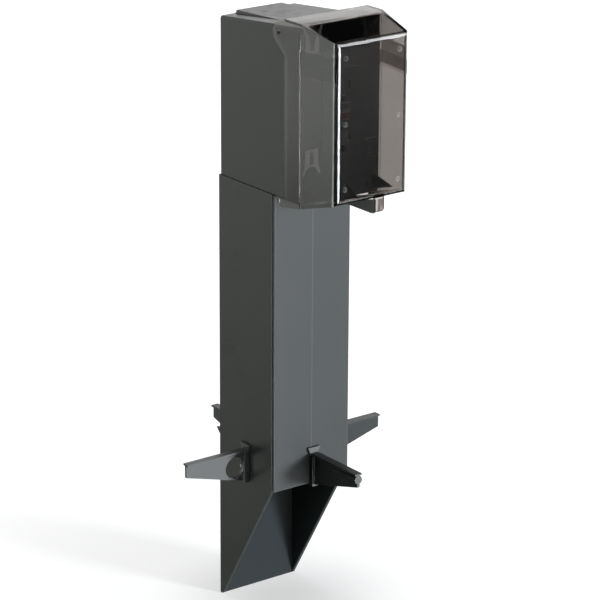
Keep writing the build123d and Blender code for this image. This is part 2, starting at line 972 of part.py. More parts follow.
def socket_screw(end):
    """A machine screw that holds the strap to a bar of the head."""
    z = socket_height + end * socket_screw_pitch / 2
    top = strap_front - socket_screw_head_height
    head = rod((0, top, z), (0, strap_front, z), socket_screw_head_radius)
    return head + rod((0, strap_front, z), (0, strap_front + socket_screw_length, z), socket_screw_radius)


def socket_body():
    """The rear case of the socket, hollow, with posts for its board and for the case screws."""
    side = socket_body_width / 2
    rise = socket_body_height / 2
    case = block((-side, strap_back, socket_height - rise), (side, body_back, socket_height + rise))
    case = fillet(case.edges().filter_by(Axis.Y), socket_round)
    case -= block(
        (-side + socket_wall, strap_back - overrun, socket_height - rise + socket_wall),
        (side - socket_wall, body_back - socket_wall, socket_height + rise - socket_wall),
    )
    for x, z in case_screw_places():
        post = rod((x, strap_back, z), (x, body_back - socket_wall / 2, z), case_post)
        case += post
        hole = case_screw_radius + screw_gap
        case -= rod((x, strap_back - overrun, z), (x, body_back + overrun, z), hole)
    for x in (-board_post_x, board_post_x):
        for z in (-board_post_z, board_post_z):
            place = socket_height + z
            case += rod((x, board_back, place), (x, body_back - socket_wall / 2, place), board_post_radius)
    for end in (-1, 1):
        z = socket_height + end * terminal_offset
        y = strap_back + contact_depth / 2
        case -= rod((-side - overrun, y, z), (side + overrun, y, z), terminal_radius + screw_gap)
    return case


def contact_rail(side):
    """A brass rail with two blade clips, on one side of the socket."""
    front = strap_back + contact_thickness
    back = front + contact_depth
    low = socket_height - outlet_offset - contact_clip_height / 2
    high = socket_height + outlet_offset + contact_clip_height / 2
    outer = contact_reach + contact_thickness
    near_leaf = blade_offset - contact_clip_half_gap - contact_thickness
    far_leaf = blade_offset + contact_clip_half_gap
    x_low, x_high = span(side, contact_reach, outer)
    rail = block((x_low, front, low), (x_high, back, high))
    for outlet in (-1, 1):
        z = socket_height + outlet * outlet_offset
        z_low = z - contact_clip_height / 2
        z_high = z + contact_clip_height / 2
        x_low, x_high = span(side, near_leaf, outer)
        rail += block((x_low, back, z_low), (x_high, back + contact_thickness, z_high))
        for leaf in (near_leaf, far_leaf):
            x_low, x_high = span(side, leaf, leaf + contact_thickness)
            rail += block((x_low, front, z_low), (x_high, back + contact_thickness, z_high))
    return rail


def terminal_screw(side, end):
    """A wire terminal screw in the side of the socket."""
    z = socket_height + end * terminal_offset
    y = strap_back + contact_depth / 2
    wall = side * socket_body_width / 2
    seat = wall + side * terminal_head_gap
    top = seat + side * terminal_head_height
    tip = side * (contact_reach + contact_thickness + screw_gap)
    head = rod((seat, y, z), (top, y, z), terminal_head_radius)
    return head + rod((tip, y, z), (seat, y, z), terminal_radius)


def earth_contact():
    """The earth strip behind the strap, with a tube at each earth hole."""
    low = socket_height - outlet_offset - earth_hole_drop - earth_strip_half_width
    high = socket_height + outlet_offset - earth_hole_drop + earth_strip_half_width
    tube = earth_hole_radius + earth_tube_wall
    strip = block(
        (-earth_strip_half_width, strap_back, low),
        (earth_strip_half_width, strap_back + contact_thickness, high),
    )
    for outlet in (-1, 1):
        z = socket_height + outlet * outlet_offset - earth_hole_drop
        strip += rod((0, strap_back, z), (0, strap_back + earth_tube_length, z), tube)
        end = strap_back + earth_tube_length + overrun
        strip -= rod((0, strap_back - overrun, z), (0, end, z), earth_hole_radius)
    return strip


def earth_screw():
    """The earth screw on the lower end of the strap."""
    x = earth_screw_side
    z = socket_height - earth_screw_drop
    head = rod((x, strap_back, z), (x, strap_back + earth_screw_head_height, z), earth_screw_head_radius)
    return head + rod((x, strap_front - screw_gap, z), (x, strap_back, z), earth_screw_radius)


def circuit_board():
    """The trip circuit's board on its posts."""
    return block(
        (-board_width / 2, board_front, socket_height - board_height / 2),
        (board_width / 2, board_back, socket_height + board_height / 2),
    )


def current_sensor():
    """The ring that senses a leak of current."""
    z = socket_height - sensor_drop
    front = board_front - sensor_depth
    ring = rod((0, front, z), (0, board_front, z), sensor_radius)
    return ring - rod((0, front - overrun, z), (0, board_front + overrun, z), sensor_bore)


def trip_solenoid():
    """The solenoid that opens the contacts."""
    z = socket_height + solenoid_rise
    coil = rod(
        (0, board_front - solenoid_depth / 2, z - solenoid_height / 2),
        (0, board_front - solenoid_depth / 2, z + solenoid_height / 2),
        solenoid_depth / 2,
    )
    foot = block(
        (-solenoid_width / 2, board_front - solenoid_depth / 4, z - solenoid_height / 2),
        (solenoid_width / 2, board_front, z + solenoid_height / 2),
    )
    return coil + foot


save("post_channel", post_channel())
save("front_panel", front_panel())
save("arm_front", Pos(front_arm_offset, -half, 0) * stabiliser_arm(panel_thickness, True))
save("arm_left", Rot(0, 0, -90) * Pos(0, -half, 0) * stabiliser_arm(post_wall, False))
save("arm_right", Rot(0, 0, 90) * Pos(0, -half, 0) * stabiliser_arm(post_wall, False))
save("arm_back", Rot(0, 0, 180) * Pos(0, -half, 0) * stabiliser_arm(post_wall, False))
save("head_shell", head_shell())
save("head_screws", *[head_screw(side * head_screw_half_spacing) for side in (-1, 1)])
save("cable_bushing", cable_bushing())
save("base_gasket", base_gasket())
save("base_plate", base_plate())
save("base_screws", *[base_screw(x, z) for x, z in base_screw_places()])
save("clear_cover", clear_cover())
save("hinge_pins", *[hinge_pin(side) for side in (-1, 1)])
save("socket_face", socket_face())
save("socket_body", socket_body())
save("socket_strap", socket_strap())
save("socket_screws", *[socket_screw(end) for end in (-1, 1)])
save("case_screws", *[case_screw(x, z) for x, z in case_screw_places()])
save("line_contact", contact_rail(1))
save("neutral_contact", contact_rail(-1))
save("line_terminals", *[terminal_screw(1, end) for end in (-1, 1)])
save("neutral_terminals", *[terminal_screw(-1, end) for end in (-1, 1)])
save("earth_contact", earth_contact())
save("earth_screw", earth_screw())
save("circuit_board", circuit_board())
save("current_sensor", current_sensor())
save("trip_solenoid", trip_solenoid())
save("test_button", socket_button(1))
save("reset_button", socket_button(-1))
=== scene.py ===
from math import cos, pi, radians, sin

import bmesh
import bpy
from mathutils import Matrix, Vector


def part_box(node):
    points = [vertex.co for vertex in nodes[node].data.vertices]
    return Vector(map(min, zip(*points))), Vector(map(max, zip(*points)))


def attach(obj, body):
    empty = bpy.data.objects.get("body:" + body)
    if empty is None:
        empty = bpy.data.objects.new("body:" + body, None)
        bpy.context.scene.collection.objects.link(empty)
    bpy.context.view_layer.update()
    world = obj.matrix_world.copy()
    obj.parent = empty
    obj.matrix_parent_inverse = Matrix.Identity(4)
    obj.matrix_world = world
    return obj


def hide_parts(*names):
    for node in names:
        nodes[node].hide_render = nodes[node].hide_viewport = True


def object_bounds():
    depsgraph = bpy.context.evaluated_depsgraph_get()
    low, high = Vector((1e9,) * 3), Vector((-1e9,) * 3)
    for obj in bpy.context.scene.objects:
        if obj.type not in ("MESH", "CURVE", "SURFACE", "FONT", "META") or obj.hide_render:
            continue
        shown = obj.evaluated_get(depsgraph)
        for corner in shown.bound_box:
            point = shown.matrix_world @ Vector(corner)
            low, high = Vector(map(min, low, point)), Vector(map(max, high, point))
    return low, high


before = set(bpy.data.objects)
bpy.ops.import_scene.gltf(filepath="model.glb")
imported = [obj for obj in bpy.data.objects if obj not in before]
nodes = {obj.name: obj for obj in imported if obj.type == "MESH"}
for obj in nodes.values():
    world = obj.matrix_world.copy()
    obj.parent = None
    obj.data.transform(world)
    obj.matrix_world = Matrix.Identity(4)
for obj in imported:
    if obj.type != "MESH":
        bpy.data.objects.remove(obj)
cad_low, cad_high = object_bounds()

# The camera stands at the photograph's viewpoint, to the left of the front and a little above the
# head. Its long lens keeps the upright edges of the post nearly parallel.
CAMERA_PLACE = Vector((-1.32942, -1.77964, 0.83493))
CAMERA_AZIMUTH = radians(37.08)
CAMERA_PITCH = radians(18.71)
CAMERA_ROLL = radians(0.29)
CAMERA_LENS_PX = 2983.14
IMAGE_PX = 600
SENSOR_MM = 36.0

camera_data = bpy.data.cameras.new("camera")
camera_data.sensor_width = SENSOR_MM
camera_data.lens = CAMERA_LENS_PX / IMAGE_PX * SENSOR_MM
camera = bpy.data.objects.new("camera", camera_data)
bpy.context.collection.objects.link(camera)
camera.matrix_world = (
    Matrix.Translation(CAMERA_PLACE)
    @ Matrix.Rotation(-CAMERA_AZIMUTH, 4, "Z")
    @ Matrix.Rotation(radians(90) - CAMERA_PITCH, 4, "X")
    @ Matrix.Rotation(CAMERA_ROLL, 4, "Z")
)
bpy.context.scene.camera = camera
bpy.context.scene.view_settings.view_transform = "Standard"


# The studio: a white floor at the level of the tip, its glow lower near the post as a painted
# shadow, a bright backdrop behind the post and a dark room in front of it for gloss to mirror. A
# key light stands at the front right, with a weak fill above and one behind, and two soft boxes
# show only in the gloss of the post.
class Wire:
    """One number on its way between shader nodes, on which arithmetic adds Math nodes."""

    def __init__(self, surface, socket):
        self.surface = surface
        self.socket = socket

    def math(self, operation, *values):
        settings = {"operation": operation}
        return self.surface.node("ShaderNodeMath", settings, dict(enumerate(values)))

    def __add__(self, other):
        return self.math("ADD", self, other)

    def __radd__(self, other):
        return self.math("ADD", other, self)

    def __sub__(self, other):
        return self.math("SUBTRACT", self, other)

    def __rsub__(self, other):
        return self.math("SUBTRACT", other, self)

    def __mul__(self, other):
        return self.math("MULTIPLY", self, other)

    def __rmul__(self, other):
        return self.math("MULTIPLY", other, self)

    def __pow__(self, other):
        return self.math("POWER", self, other)

    def most(self, other):
        return self.math("MAXIMUM", self, other)

    def size(self):
        return self.math("ABSOLUTE", self)

    def wave(self):
        return self.math("SINE", self)

    def folded(self, length):
        """The value folded back and forth between zero and a length."""
        return self.math("PINGPONG", self, length)

    def rise(self, low, high):
        """Zero below the low edge, one above the high edge, and smooth between them."""
        return self.surface.node(
            "ShaderNodeMapRange",
            {"interpolation_type": "SMOOTHSTEP"},
            {"Value": self, "From Min": low, "From Max": high},
        )

    def counted(self):
        """Zero for a count of zero, and one for any higher count."""
        return self.rise(0.2, 0.8)


class Surface:
    """The shader nodes of one material, or of the world."""

    def __init__(self, owner):
        owner.use_nodes = True
        self.tree = owner.node_tree
        self.tree.nodes.clear()

    def node(self, kind, settings=None, inputs=None, output=0):
        """Add a node with its settings and inputs, and give one of its outputs."""
        made = self.tree.nodes.new(kind)
        for name, value in (settings or {}).items():
            setattr(made, name, value)
        for name, value in (inputs or {}).items():
            if isinstance(value, Wire):
                self.tree.links.new(value.socket, made.inputs[name])
            else:
                made.inputs[name].default_value = value
        return Wire(self, made.outputs[output]) if len(made.outputs) else made

    def parts(self, vector):
        """The three numbers of a vector."""
        return [self.node("ShaderNodeSeparateXYZ", {}, {0: vector}, axis) for axis in range(3)]

    def place(self):
        """The Object coordinates."""
        return self.node("ShaderNodeTexCoord", output="Object")

    def ray(self, kind):
        """What Light Path tells about the ray that arrives."""
        return self.node("ShaderNodeLightPath", output=kind)

    def blend(self, factor, first, second):
        colours = {0: factor, 6: first, 7: second}
        return self.node("ShaderNodeMix", {"data_type": "RGBA"}, colours, 2)

    def noise(self, vector, scale, detail=2.0, stretch=(1, 1, 1)):
        """Noise of a scale in lumps per metre, drawn out along an axis by a stretch."""
        moved = self.node("ShaderNodeMapping", {}, {"Vector": vector, "Scale": stretch})
        lumps = {"Vector": moved, "Scale": scale, "Detail": detail}
        return self.node("ShaderNodeTexNoise", {}, lumps)

    def bump(self, height, depth, strength):
        relief = {"Strength": strength, "Distance": depth, "Height": height}
        return self.node("ShaderNodeBump", {}, relief)

    def shader(self, **inputs):
        """The Principled shader with its inputs, whose names have underscores for spaces."""
        named = {name.replace("_", " "): value for name, value in inputs.items()}
        shader = self.node("ShaderNodeBsdfPrincipled", {}, named)
        self.node("ShaderNodeOutputMaterial", {}, {"Surface": shader})


def seen(surface):
    """One for what the camera sees straight or through glass, off no mirror or matt face."""
    glass_ray = surface.ray("Is Transmission Ray")
    bounces = surface.ray("Glossy Depth") + surface.ray("Diffuse Depth")
    return surface.ray("Is Camera Ray").most(glass_ray * (1 - bounces.counted()))


# Strengths of the room, and of its patches that gloss mirrors.
AMBIENT = 0.03
INSIDE_LIGHT = 2.0
ROOM_LIGHT = 0.012
LEFT_LIGHT = 4.5
LEFT_CORNER_LIGHT = 0.5
RIGHT_LIGHT = 1.6
TABLE_LIGHT = 0.10
GROUND_LIGHT = 3.0
BACKDROP_LIGHT = 0.12

# Soft edges of the patches, as directions from -1 to 1. The backdrop brightens upwards in three
# steps, each with its strength, foot and top.
LEFT_EDGE = (-0.74, -0.68)
LEFT_FRONT = (-0.15, -0.05)
LEFT_BACK = (0.36, 0.42)
LEFT_CORNER = (0.40, 0.46)
RIGHT_EDGE = (0.78, 0.86)
RIGHT_FRONT = (-0.45, -0.3)
BACKDROP_FRONT = (0.20, 0.45)
BACKDROP_STEPS = ((0.38, -0.44, -0.33), (0.42, -0.295, -0.255), (0.25, -0.1, 0.3))
BACKDROP_TOP = (0.42, 0.56)
TABLE_FOOT = (-0.32, -0.24)
TABLE_TOP = (-0.1, 0.1)
GROUND_TOP = (-0.66, -0.60)
GROUND_BACK = (-0.35, -0.2)
INSIDE_BACK = (-0.6, 0.2)
LOW_TINT = (0.98, 1.02, 0.96, 1)
LOW_TINT_TOP = (-0.15, 0.15)
WHITE = (1, 1, 1, 1)

world = bpy.data.worlds.new("studio")
bpy.context.scene.world = world
room = Surface(world)
across, back, height = room.parts(room.node("ShaderNodeTexCoord", output="Generated"))
left_side = LEFT_LIGHT * back.rise(*LEFT_FRONT) * (1 - back.rise(*LEFT_BACK))
left_side = LEFT_CORNER_LIGHT * back.rise(*LEFT_CORNER) + left_side
right_side = RIGHT_LIGHT * across.rise(*RIGHT_EDGE) * back.rise(*RIGHT_FRONT)
beside = (1 - across.rise(*LEFT_EDGE)) * left_side + right_side
behind = BACKDROP_LIGHT
for step, foot, top in BACKDROP_STEPS:
    behind = behind + step * height.rise(foot, top)
behind = back.rise(*BACKDROP_FRONT) * behind
backdrop = (behind + beside) * (1 - height.rise(*BACKDROP_TOP))
table = TABLE_LIGHT * height.rise(*TABLE_FOOT) * (1 - height.rise(*TABLE_TOP))
ground = GROUND_LIGHT * (1 - height.rise(*GROUND_TOP)) * (1 - back.rise(*GROUND_BACK))
mirrored = ROOM_LIGHT + table + backdrop + ground
gloss = room.ray("Glossy Depth").counted() * (1 - room.ray("Diffuse Depth").counted())
inside = INSIDE_LIGHT * room.ray("Is Transmission Ray") * (1 - back.rise(*INSIDE_BACK))
white = seen(room)
strength = white + (1 - white) * (gloss * mirrored + (1 - gloss) * (AMBIENT + inside))
tinted = room.blend(height.rise(*LOW_TINT_TOP), LOW_TINT, WHITE)
colour = room.blend(white, tinted, WHITE)
background = room.node("ShaderNodeBackground", {}, {"Color": colour, "Strength": strength})
room.node("ShaderNodeOutputWorld", {}, {"Surface": background})

FLOOR_SIDE = 12.0
FLOOR_COLOUR = (0.45, 0.45, 0.45, 1)
FLOOR_NEAR_PAINTED_SHADOW = 0.50
FLOOR_FAR = 1.0

bpy.ops.object.select_all(action="DESELECT")
bpy.ops.mesh.primitive_plane_add(size=FLOOR_SIDE, location=(0, 0, cad_low[2]))
floor = bpy.context.object
floor.name = "floor"
floor.visible_glossy = False
floor.visible_diffuse = False
floor_paint = bpy.data.materials.new("floor")
paint = Surface(floor_paint)
x, y, z = paint.parts(paint.place())
away = (x * x + y * y) ** 0.5
# The glow drops near the post: a painted shadow around the tip.
out_of_painted_shadow = 0.6 * away.rise(0.0, 0.12) + 0.4 * away.rise(0.1, 0.5)
paint.shader(
    Base_Color=FLOOR_COLOUR,
    Roughness=0.9,
    Specular_IOR_Level=0.0,
    Emission_Color=WHITE,
    Emission_Strength=seen(paint) * (FLOOR_NEAR_PAINTED_SHADOW + (FLOOR_FAR - FLOOR_NEAR_PAINTED_SHADOW) * out_of_painted_shadow),
)
floor.data.materials.append(floor_paint)

# Each lamp: azimuth from the front towards the right and elevation in degrees, distance, width,
# height, brightness, and whether it only shows in gloss or only lights the surfaces.
COLD = (0.94, 0.97, 1.0)
LAMPS = {
    "front soft box": (1, -5, 2.6, 1.7, 1.9, 20.0, True),
    "right soft box": (52, 34, 2.6, 1.4, 1.5, 10.0, True),
    "key light": (23, 6, 3.0, 0.6, 0.6, 135.0, False),
    "top fill": (150, 70, 2.5, 2.5, 2.5, 0.25, False),
    "back fill": (180, 5, 2.5, 1.2, 1.2, 8.0, False),
}
for name, (azimuth, elevation, distance, width, tall, light, in_gloss) in LAMPS.items():
    azimuth, elevation = radians(azimuth), radians(elevation)
    lamp = bpy.data.lights.new(name, "AREA")
    lamp.shape = "RECTANGLE"
    lamp.size = width
    lamp.size_y = tall
    lamp.energy = light * width * tall * pi
    lamp.color = COLD
    held = bpy.data.objects.new(name, lamp)
    bpy.context.collection.objects.link(held)
    outwards = Vector(
        (sin(azimuth) * cos(elevation), -cos(azimuth) * cos(elevation), sin(elevation))
    )
    held.location = Vector((0, 0, (cad_low[2] + cad_high[2]) / 2)) + outwards * distance
    held.rotation_euler = (-outwards).to_track_quat("-Z", "Y").to_euler()
    held.visible_glossy = in_gloss
    held.visible_diffuse = not in_gloss
    held.visible_transmission = False


# Post channel: the back and both side walls of the square post in one hollow moulding of charcoal
# plastic, cut slanting at the foot. It carries the rails, the barbs and the slots of the arms. Its
# inner faces take a darker, duller copy of the plastic, as painted shade inside the hollow.
CHARCOAL = (0.046, 0.051, 0.048, 1)
# The worn colours, here and below, are lighter edge colours: partly wear, partly a painted
# highlight.
CHARCOAL_WORN_AND_LIT = (0.060, 0.063, 0.060, 1)
CHARCOAL_SHADED_INSIDE = (0.022, 0.027, 0.029, 1)
DUST = (0.30, 0.29, 0.27, 1)
CLOUDS_PER_METRE = 22
STREAKS_PER_METRE = 420
GRAINS_PER_METRE = 1500
DUST_PER_METRE = 160
GRAIN_DEPTH = 0.00006
POST_ROUND = 0.00045
POST_INNER_HALF = 0.0350
ROUNDED_SLOT = 1
THIRD_SLOT = 2


def moulded_plastic(name, colour, roughness, grain=1.0, streak=1.0, shine=0.5):
    """Moulded plastic: fine grain in the gloss, clouds and draw lines in the colour, and dust."""
    material = bpy.data.materials.new(name)
    surface = Surface(material)
    place = surface.place()
    clouds = surface.noise(place, CLOUDS_PER_METRE, 3.0)
    streaks = surface.noise(place, STREAKS_PER_METRE, 1.0, (1, 1, 0.02))
    fine = surface.noise(place, GRAINS_PER_METRE, 2.0)
    darker = tuple(0.5 * part for part in colour[:3]) + (1,)
    body = surface.blend(0.86 + 0.18 * clouds + 0.10 * streak * streaks, darker, colour)
    facing_up = surface.parts(surface.node("ShaderNodeNewGeometry", output="Normal"))[2]
    dust = surface.noise(place, DUST_PER_METRE, 3.0).rise(0.45, 0.75)
    dust = dust * facing_up.rise(0.5, 1.0) * 0.10
    surface.shader(
        Base_Color=surface.blend(dust, body, DUST),
        Roughness=roughness + (fine - 0.5) * 0.10 * grain + (clouds - 0.5) * 0.08 + dust,
        Specular_IOR_Level=shine,
        Normal=surface.bump(fine + 0.6 * streak * streaks, GRAIN_DEPTH, 0.35 * grain),
    )
    return material


def worn_and_highlit_plastic(name, colour, roughness, shine=0.5):
    """Rounded-edge plastic, worn smooth, lighter partly as a painted highlight; no draw lines."""
    return moulded_plastic(name, colour, roughness, grain=0.4, streak=0.0, shine=shine)


def copied(node, body, materials):
    """A copy of a CAD node as a piece of its own, with its triangles joined and selected."""
    piece = bpy.data.objects.new(node + "_finished", nodes[node].data.copy())
    bpy.context.collection.objects.link(piece)
    piece.data.materials.clear()
    for material in materials:
        piece.data.materials.append(material)
    bpy.ops.object.select_all(action="DESELECT")
    piece.select_set(True)
    bpy.context.view_layer.objects.active = piece
    bpy.ops.object.mode_set(mode="EDIT")
    bpy.ops.mesh.select_all(action="SELECT")
    bpy.ops.mesh.remove_doubles(threshold=1e-6)
    bpy.ops.mesh.customdata_custom_splitnormals_clear()
    bpy.ops.object.mode_set(mode="OBJECT")
    for polygon in piece.data.polygons:
        polygon.material_index = 0
    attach(piece, body)
    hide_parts(node)
    return piece


def rounded(piece, edge_round, segments=2, sharp=radians(30), wanted=None):
    """Round the sharp edges of a copy, or those wanted by their middle, and keep faces flat."""
    bpy.ops.object.mode_set(mode="EDIT")
    bpy.ops.mesh.select_all(action="SELECT")
    bpy.ops.mesh.dissolve_limited(angle_limit=radians(0.2))
    bpy.ops.mesh.select_all(action="DESELECT")
    bpy.ops.mesh.select_mode(type="EDGE")
    edited = bmesh.from_edit_mesh(piece.data)
    for edge in edited.edges:
        middle = (edge.verts[0].co + edge.verts[1].co) / 2
        bent = edge.is_manifold and edge.calc_face_angle() > sharp
        if bent and (wanted is None or wanted(middle)):
            edge.select_set(True)
    bmesh.update_edit_mesh(piece.data)
    bpy.ops.mesh.bevel(
        offset=edge_round, segments=segments, clamp_overlap=False, material=ROUNDED_SLOT
    )
    bpy.ops.mesh.select_all(action="SELECT")
    bpy.ops.mesh.remove_doubles(threshold=1e-6)
    bpy.ops.object.mode_set(mode="OBJECT")
    smooth(piece, sharp)


def smooth(piece, sharp=radians(30)):
    """Shade the round faces smooth and the flat ones flat."""
    bpy.ops.object.shade_smooth_by_angle(angle=sharp)
    flat = piece.modifiers.new("flat faces", "WEIGHTED_NORMAL")
    flat.keep_sharp = True
    bpy.ops.object.modifier_apply(modifier=flat.name)


charcoal = moulded_plastic("charcoal plastic", CHARCOAL, 0.30)
charcoal_edge = worn_and_highlit_plastic("charcoal plastic edge", CHARCOAL_WORN_AND_LIT, 0.26)
charcoal_shaded_inside = moulded_plastic("charcoal plastic shaded inside", CHARCOAL_SHADED_INSIDE, 0.5, shine=0.15)
charcoals = [charcoal, charcoal_edge, charcoal_shaded_inside]
channel = copied("post_channel", "post", charcoals)
rounded(channel, POST_ROUND)
# The faces inside the hollow take the darker copy: painted shade.
for polygon in channel.data.polygons:
    if max(abs(polygon.center.x), abs(polygon.center.y)) < POST_INNER_HALF:
        polygon.material_index = THIRD_SLOT


# Front panel: a plate of the same plastic, a little lighter as painted light, with a faint crease
# down its middle whose narrow rounded strip keeps the lighter edge colour, a painted highlight. It
# closes the post and clips behind the rails, with a thin shadow line at each side.
PANEL_LIT = (0.056, 0.060, 0.061, 1)
PANEL_WORN_AND_LIT = (0.080, 0.084, 0.086, 1)
CREASE_ROUND = 0.0006
CREASE_BEND = radians(0.5)
CREASE_HALF = 0.001
CREASE_BACK = -0.036
PANEL_FACE_AREA = 0.001
PANEL_SHARP = radians(0.3)

# The panel's colour is lighter than the post's as painted light.
lit_panel_plastic = moulded_plastic("lit panel plastic", PANEL_LIT, 0.42, grain=1.6, shine=0.35)
panel_edge = worn_and_highlit_plastic("lit panel plastic edge", PANEL_WORN_AND_LIT, 0.40)
panel = copied("front_panel", "post", [lit_panel_plastic, panel_edge])
# The crease's rounded strip keeps the lighter edge colour as a painted highlight.
rounded(
    panel,
    CREASE_ROUND,
    segments=1,
    sharp=CREASE_BEND,
    wanted=lambda spot: abs(spot.x) < CREASE_HALF and spot.y < CREASE_BACK,
)
rounded(panel, POST_ROUND)
for polygon in panel.data.polygons:
    if polygon.area > PANEL_FACE_AREA:
        polygon.material_index = 0
smooth(panel, PANEL_SHARP)


# Stabiliser arms: four ribbed mouldings in a slightly greyer plastic. They hook through the walls
# and keep the post from turning in the soil. The right one takes a darker copy of the plastic as
# painted shade. The front one is darker still as painted shade, with its front-facing faces in the
# lighter arm colour as painted light, and ends in a tapered bead.
ARM = (0.130, 0.134, 0.134, 1)
ARM_WORN_AND_LIT = (0.14, 0.142, 0.14, 1)
RIGHT_ARM_SHADED = (0.048, 0.052, 0.053, 1)
FRONT_ARM_SHADED = (0.022, 0.025, 0.024, 1)
FRONT_ARM_SHADED_WORN_AND_LIT = (0.045, 0.048, 0.047, 1)
ARM_ROUND = 0.0003
FRONTWARDS = -0.9

arm_plastic = moulded_plastic("arm plastic", ARM, 0.32)
arm_edge = worn_and_highlit_plastic("arm plastic edge", ARM_WORN_AND_LIT, 0.28)
# The right arm's darker copy of the arm plastic is painted shade.
shaded_right_arm_plastic = moulded_plastic("right arm shaded plastic", RIGHT_ARM_SHADED, 0.32)
for side, plastic in (("left", arm_plastic), ("right", shaded_right_arm_plastic), ("back", arm_plastic)):
    rounded(copied(f"arm_{side}", "post", [plastic, arm_edge]), ARM_ROUND)
# The front arm's darker copy of the plastic is painted shade.
shaded_front_arm_plastic = moulded_plastic("front arm shaded plastic", FRONT_ARM_SHADED, 0.36, shine=0.1)
shaded_front_arm_edge = worn_and_highlit_plastic("front arm shaded plastic edge", FRONT_ARM_SHADED_WORN_AND_LIT, 0.30, shine=0.2)
front_arm = copied("arm_front", "post", [shaded_front_arm_plastic, shaded_front_arm_edge, arm_edge])
rounded(front_arm, ARM_ROUND)
# Its front-facing faces take the lighter arm edge colour, as painted light on its lit end.
for polygon in front_arm.data.polygons:
    if polygon.normal.y < FRONTWARDS:
        polygon.material_index = THIRD_SLOT


# Head shell: the box that carries the socket, moulded in the post's plastic with its sloped roof,
# plateau and the spigot that sits in the post. The roof's edges are rounder than the others.
ROOF_ROUND = 0.0009
HEAD_ROUND = 0.0003
ROOF_FOOT = 0.3005
HINGE = Vector((-0.0443, 0.311933))
HINGE_CLEAR = 0.004

shell = copied("head_shell", "post", [charcoal, charcoal_edge])
rounded(
    shell,
    ROOF_ROUND,
    segments=3,
    wanted=lambda spot: spot.z > ROOF_FOOT and (spot.yz - HINGE).length > HINGE_CLEAR,
)
rounded(shell, HEAD_ROUND)


# Head screws and cable bushing: zinc plated screws between post and spigot, and a rubber ring in
# the floor of the head for the supply cable.
ZINC = (0.62, 0.62, 0.60, 1)
RUBBER = (0.022, 0.022, 0.023, 1)
BLOOM = (0.12, 0.12, 0.115, 1)
DRAWN_BACK = (1, 0.05, 1)
LINES_PER_METRE = 2600
TARNISH_PER_METRE = 300
RUBBER_GRAINS_PER_METRE = 1800
BLOOM_PER_METRE = 120
LINE_DEPTH = 0.00002
RUBBER_GRAIN_DEPTH = 0.00008


def metal(name, colour, roughness, stretch, wear=0.1):
    """Metal with fine drawn lines and a little tarnish."""
    material = bpy.data.materials.new(name)
    surface = Surface(material)
    place = surface.place()
    lines = surface.noise(place, LINES_PER_METRE, 2.0, stretch)
    tarnish = surface.noise(place, TARNISH_PER_METRE, 3.0).rise(0.4, 0.8)
    darker = tuple(0.55 * part for part in colour[:3]) + (1,)
    surface.shader(
        Base_Color=surface.blend(tarnish * wear * 5, colour, darker),
        Metallic=1.0,
        Roughness=roughness + 0.18 * (lines - 0.5) + wear * tarnish,
        Normal=surface.bump(lines, LINE_DEPTH, 0.5),
    )
    return material


def rubber(name, colour):
    """Matt rubber with a soft grain and a bloom."""
    material = bpy.data.materials.new(name)
    surface = Surface(material)
    place = surface.place()
    fine = surface.noise(place, RUBBER_GRAINS_PER_METRE, 3.0)
    bloom = surface.noise(place, BLOOM_PER_METRE, 3.0).rise(0.4, 0.9)
    surface.shader(
        Base_Color=surface.blend(bloom * 0.2, colour, BLOOM),
        Roughness=0.72 + 0.2 * (fine - 0.5),
        Normal=surface.bump(fine, RUBBER_GRAIN_DEPTH, 0.5),
    )
    return material


def painted(node, material):
    """Give a CAD node its material."""
    mesh = nodes[node].data
    for index in range(len(mesh.materials)):
        mesh.materials[index] = material


zinc = metal("zinc plated steel", ZINC, 0.30, DRAWN_BACK)
black_rubber = rubber("black rubber", RUBBER)
painted("head_screws", zinc)
painted("cable_bushing", black_rubber)


# Base gasket, base plate and base screws: a rubber gasket, the black front plate with its corner
# cheeks, slotted lugs and catch rib, and the four blackened screws that hold it. The front faces
# of the two left lugs are light grey.
BLACK = (0.009, 0.012, 0.015, 1)
BLACK_WORN_AND_LIT = (0.040, 0.042, 0.043, 1)
LUG_GREY = (0.22, 0.225, 0.23, 1)
BLACKENED = (0.06, 0.06, 0.062, 1)
PLATE_ROUND = 0.00025
LUG_FRONT = -0.0712
LUG_MARGIN = 0.0001

black_plastic = moulded_plastic("black plastic", BLACK, 0.34)
black_edge = worn_and_highlit_plastic("black plastic edge", BLACK_WORN_AND_LIT, 0.28)
painted("base_gasket", black_rubber)
lug_plastic = moulded_plastic("light grey lug plastic", LUG_GREY, 0.40)
plate = copied("base_plate", "post", [black_plastic, black_edge, lug_plastic])
rounded(plate, PLATE_ROUND)
for polygon in plate.data.polygons:
    at_lug = polygon.center.x < 0 and abs(polygon.center.y - LUG_FRONT) < LUG_MARGIN
    if at_lug and polygon.normal.y < FRONTWARDS:
        polygon.material_index = THIRD_SLOT
painted("base_screws", metal("blackened steel", BLACKENED, 0.38, DRAWN_BACK, wear=0.05))


# Socket face and buttons: the black moulded face of the twin outlet with its dark test button and
# its red reset button, which slide in openings of the face.
RED = (0.03, 0.004, 0.004, 1)
RED_WORN_AND_LIT = (0.045, 0.006, 0.006, 1)
FACE_ROUND = 0.0002
BUTTON_ROUND = 0.0003

blacks = [black_plastic, black_edge]
rounded(copied("socket_face", "post", blacks), FACE_ROUND)
rounded(copied("test_button", "test_button", blacks), BUTTON_ROUND)
red_plastic = moulded_plastic("red plastic", RED, 0.32)
red_edge = worn_and_highlit_plastic("red plastic edge", RED_WORN_AND_LIT, 0.28)
reds = [red_plastic, red_edge]
rounded(copied("reset_button", "reset_button", reds), BUTTON_ROUND)


